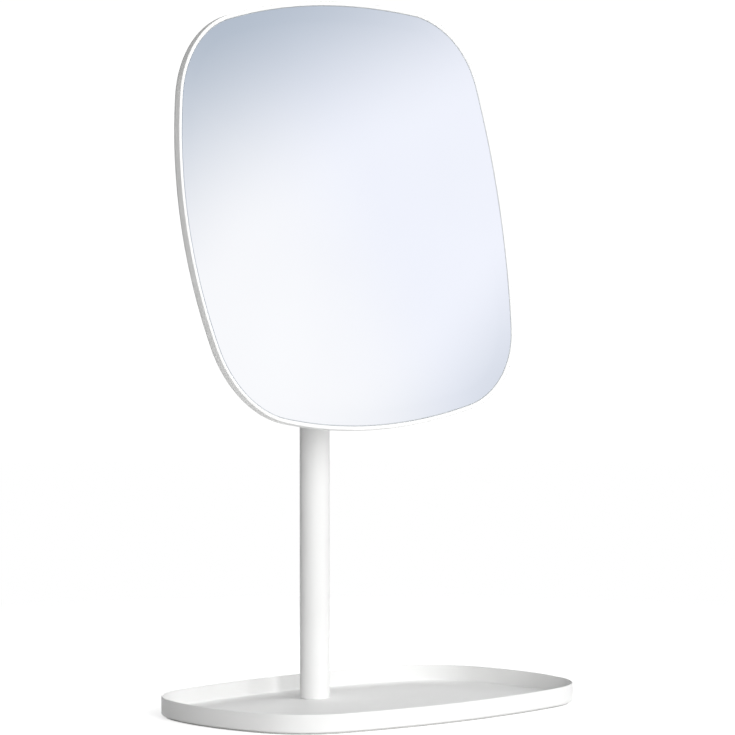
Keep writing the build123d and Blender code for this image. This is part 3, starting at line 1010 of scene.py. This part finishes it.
camera = bpy.data.objects.new("camera", bpy.data.cameras.new("camera"))
camera.data.lens = CAMERA_LENS
camera.data.sensor_width = SENSOR
camera.location = (CAMERA_TARGET + facing(*CAMERA_FACING) * CAMERA_DISTANCE) * MM
camera.rotation_mode = "QUATERNION"
camera.rotation_quaternion = (-facing(*CAMERA_FACING)).to_track_quat("-Z", "Y")
bpy.context.scene.collection.objects.link(camera)
bpy.context.scene.camera = camera
bpy.context.scene.view_settings.view_transform = "Standard"

# Soft boxes: azimuth, level on a white surface that faces them, width, height and mid height.
# Two upright strips light the front, a box in line with the camera fills the left, a low one lights the
# back, and a high one at the right lights the tray from above.
LAMP_DISTANCE = 2000.0
LAMPS = {
    "strip_left": (-19.0, 0.34, 350.0, 1500.0, 850.0),
    "strip_right": (21.0, 0.125, 350.0, 1500.0, 850.0),
    "box_fill": (-43.0, 0.135, 700.0, 900.0, 500.0),
    "box_rear": (135.0, 0.6, 900.0, 700.0, 400.0),
    "box_high": (50.0, 0.17, 900.0, 900.0, 3400.0),
}
LAMP_AIM = Vector((0.0, 0.0, 100.0))
for name, (azimuth, level, width, height, middle) in LAMPS.items():
    light = bpy.data.lights.new(name, "AREA")
    light.shape = "RECTANGLE"
    light.size, light.size_y = width * MM, height * MM
    lamp = bpy.data.objects.new(name, light)
    lamp.location = (facing(azimuth, 0) * LAMP_DISTANCE + Vector((0, 0, middle))) * MM
    aim = LAMP_AIM * MM - lamp.location
    # A box's power over the square of pi times its distance is the level that it gives
    light.energy = level * math.pi**2 * aim.length_squared
    lamp.rotation_mode = "QUATERNION"
    lamp.rotation_quaternion = aim.to_track_quat("-Z", "Y")
    lamp.visible_glossy = False
    bpy.context.scene.collection.objects.link(lamp)

# World: white to the camera. To reflections it is a cool tent with a large soft panel, a pale top and a
# grey rear, and to soft light a neutral tent that is dark at the rear and grows brighter to the front.
AMBIENT_LEVEL = 0.72
AMBIENT_GLOW = (facing(0.0, 0.0), -0.5, 1.0)
WHITE = (1.0, 1.0, 1.0, 1.0)
BACKDROP = (1.06, 1.06, 1.06, 1.0)  # a little over white, so that noise leaves no tint in it
TENT = "#A9B5C4"
PANEL = "#F4F6FF"
PANEL_CORE = "#FDFDFF"
TENT_TOP = "#EEF1F5"
TENT_REAR = "#A4A5A6"
# The panel glows from a slanting lower edge up to a round upper edge, and is whitest about its core
LOWER_EDGE = (facing(-79.0, 78.5), -0.129, 0.111)
UPPER_EDGE = (facing(47.0, -15.0), 0.641, 0.793)
CORE_EDGE = (facing(61.0, 21.5), 0.923, 1.007)
TOP_EDGE = (facing(0.0, 90.0), 0.48, 0.75)
REAR_EDGE = (facing(180.0, 0.0), 0.0, 0.4)
MIX_COLOURS = (6, 7)  # places of the two colours among a Mix node's inputs
MIXED_COLOUR = 2  # place of their mix among its outputs


def ray_kinds(tree):
    """Sockets that are 1 for glossy and transmission rays, and 1 for these and camera rays."""
    rays = add(tree, "ShaderNodeLightPath").outputs
    mirrored = {0: rays["Is Glossy Ray"], 1: rays["Is Transmission Ray"]}
    mirrored = add(tree, "ShaderNodeMath", mirrored, operation="ADD").outputs[0]
    seen = add(tree, "ShaderNodeMath", {0: rays["Is Camera Ray"], 1: mirrored}, operation="ADD").outputs[0]
    return mirrored, seen


def studio_world():
    """World whose colour and strength go by the kind of ray and by its direction."""
    world = bpy.data.worlds.new("studio")
    world.use_nodes = True
    tree = world.node_tree
    tree.nodes.clear()
    direction = add(tree, "ShaderNodeTexCoord").outputs["Generated"]

    def along(axis, low, high, **settings):
        """Socket that runs from 0 to 1 between two values of the direction's share along an axis."""
        share = add(tree, "ShaderNodeVectorMath", {0: direction, 1: axis}, operation="DOT_PRODUCT")
        limits = {"Value": share.outputs["Value"], "From Min": low, "From Max": high}
        return add(tree, "ShaderNodeMapRange", limits, **settings).outputs["Result"]

    def mixed(share, low, high):
        """Socket of a colour that share takes from the first to the second."""
        first, second = MIX_COLOURS
        colours = {"Factor": share, first: low, second: high}
        return add(tree, "ShaderNodeMix", colours, data_type="RGBA").outputs[MIXED_COLOUR]

    edges = (LOWER_EDGE, UPPER_EDGE, CORE_EDGE, TOP_EDGE, REAR_EDGE)
    lower, upper, core, top, rear = (along(*edge, interpolation_type="SMOOTHSTEP") for edge in edges)
    glow = add(tree, "ShaderNodeMath", {0: lower, 1: upper}, operation="MULTIPLY").outputs[0]
    tent = mixed(rear, linear(TENT), linear(TENT_REAR))
    tent = mixed(top, tent, linear(TENT_TOP))
    tent = mixed(glow, tent, mixed(core, linear(PANEL), linear(PANEL_CORE)))
    mirrored, seen = ray_kinds(tree)
    colour = mixed(mirrored, BACKDROP, tent)
    ambient = {0: along(*AMBIENT_GLOW), 1: AMBIENT_LEVEL}
    ambient = add(tree, "ShaderNodeMath", ambient, operation="MULTIPLY").outputs[0]
    levels = {"Value": seen, "To Min": ambient, "To Max": 1.0}
    level = add(tree, "ShaderNodeMapRange", levels).outputs["Result"]
    sky = add(tree, "ShaderNodeBackground", {"Color": colour, "Strength": level})
    add(tree, "ShaderNodeOutputWorld", {"Surface": sky.outputs["Background"]})
    return world


bpy.context.scene.world = studio_world()

# Floor: pale paper that keeps the shadow near the object and runs out to plain white
FLOOR_RADIUS = 1500.0
FLOOR_COLOUR = "#E6E6E6"
FLOOR_GLOW = 0.65  # added to what the camera and reflections see of the paper
SHADOW_NEAR = 250.0
SHADOW_FAR = 550.0


def floor_paper():
    """Matt studio paper, lifted by a glow where it is seen and fading to white with distance."""
    material = bpy.data.materials.new("floor_paper")
    material.use_nodes = True
    tree = material.node_tree
    tree.nodes.clear()
    place = add(tree, "ShaderNodeTexCoord").outputs["Object"]
    seen = ray_kinds(tree)[1]
    away = add(tree, "ShaderNodeVectorMath", {0: place}, operation="LENGTH").outputs["Value"]
    limits = {"Value": away, "From Min": SHADOW_NEAR * MM, "From Max": SHADOW_FAR * MM}
    far = add(tree, "ShaderNodeMapRange", limits, interpolation_type="SMOOTHSTEP").outputs["Result"]
    plain = add(tree, "ShaderNodeMath", {0: far, 1: seen}, operation="MULTIPLY").outputs[0]
    lift = add(tree, "ShaderNodeMath", {0: seen, 1: FLOOR_GLOW}, operation="MULTIPLY").outputs[0]
    paper = add(tree, "ShaderNodeBsdfDiffuse", {"Color": linear(FLOOR_COLOUR)}).outputs[0]
    glow = add(tree, "ShaderNodeEmission", {"Color": WHITE, "Strength": lift}).outputs[0]
    lit = add(tree, "ShaderNodeAddShader", {0: paper, 1: glow}).outputs[0]
    white = add(tree, "ShaderNodeEmission", {"Color": WHITE, "Strength": 1.0}).outputs[0]
    mixed = add(tree, "ShaderNodeMixShader", {0: plain, 1: lit, 2: white}).outputs[0]
    add(tree, "ShaderNodeOutputMaterial", {"Surface": mixed})
    return material


disc = bpy.data.meshes.new("floor")
rim = np.append(circle(FLOOR_RADIUS)[0] * MM, np.zeros((ROUND_POINTS, 1)), axis=1)
disc.from_pydata(rim.tolist(), [], [list(range(ROUND_POINTS))])
disc.materials.append(floor_paper())
floor = bpy.data.objects.new("floor", disc)
bpy.context.scene.collection.objects.link(floor)
